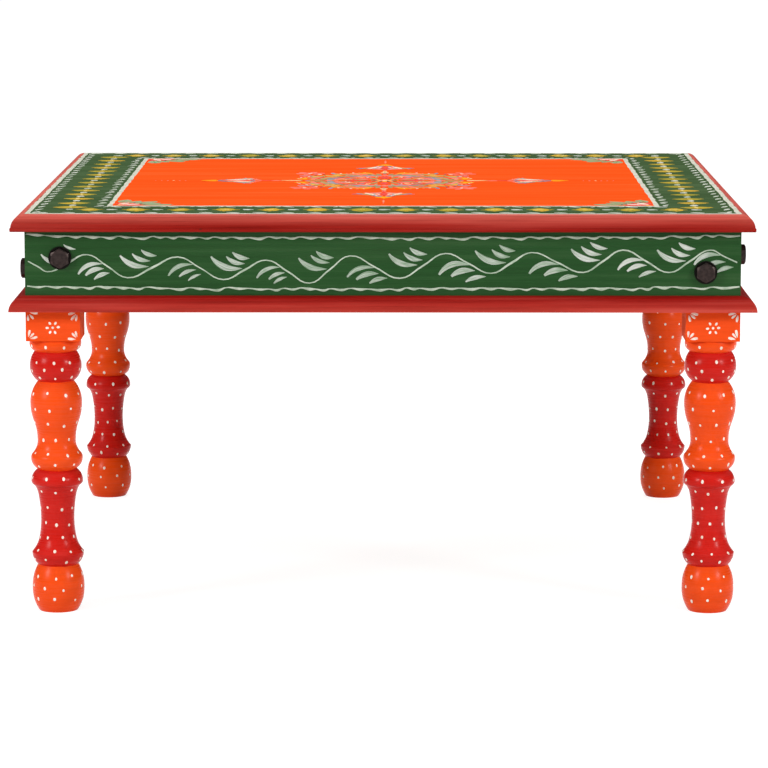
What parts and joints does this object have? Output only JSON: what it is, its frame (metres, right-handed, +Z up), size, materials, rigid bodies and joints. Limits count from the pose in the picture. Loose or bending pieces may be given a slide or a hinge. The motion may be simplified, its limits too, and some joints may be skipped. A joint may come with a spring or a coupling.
{
  "type": "coffee table",
  "caption": "Low square painted wooden table: a moulded plank top on a boxed apron with moulding at its foot, and turned legs bolted into the corners.",
  "frame": {"origin": "on the floor, under the middle of the table", "axes": "+Z up, -Y towards the front, +X to the right as seen from the front"},
  "size_m": [0.55, 0.55, 0.3],
  "materials": {
    "top_paint": "brushed satin paint on boards, an orange field in a green border with painted ornament",
    "moulding_paint": "brushed satin red paint",
    "rail_paint": "brushed satin dark green paint with painted ornament",
    "leg_paint": "brushed satin orange paint with red bands and white dots",
    "bare_wood": "planed, unpainted",
    "black_iron": "dark forged iron",
    "plain_steel": "plain zinc grey"
  },
  "bodies": {
    "root": {"top_plank_1": "top_paint", "top_plank_2": "top_paint", "top_plank_3": "top_paint", "top_plank_4": "top_paint", "top_plank_5": "top_paint", "top_moulding_front": "moulding_paint", "top_moulding_right": "moulding_paint", "top_moulding_back": "moulding_paint", "top_moulding_left": "moulding_paint", "rail_front": "rail_paint", "rail_right": "rail_paint", "rail_back": "rail_paint", "rail_left": "rail_paint", "base_moulding_front": "moulding_paint", "base_moulding_right": "moulding_paint", "base_moulding_back": "moulding_paint", "base_moulding_left": "moulding_paint", "leg_front_left": "leg_paint", "leg_front_right": "leg_paint", "leg_back_right": "leg_paint", "leg_back_left": "leg_paint", "cleat_front": "bare_wood", "cleat_right": "bare_wood", "cleat_back": "bare_wood", "cleat_left": "bare_wood", "batten_right": "bare_wood", "batten_left": "bare_wood", "leg_bolts": "black_iron", "head_washers": "black_iron", "bolt_washers": "plain_steel", "bolt_nuts": "plain_steel", "cleat_screws": "plain_steel", "batten_screws": "plain_steel"}
  },
  "joints": []
}
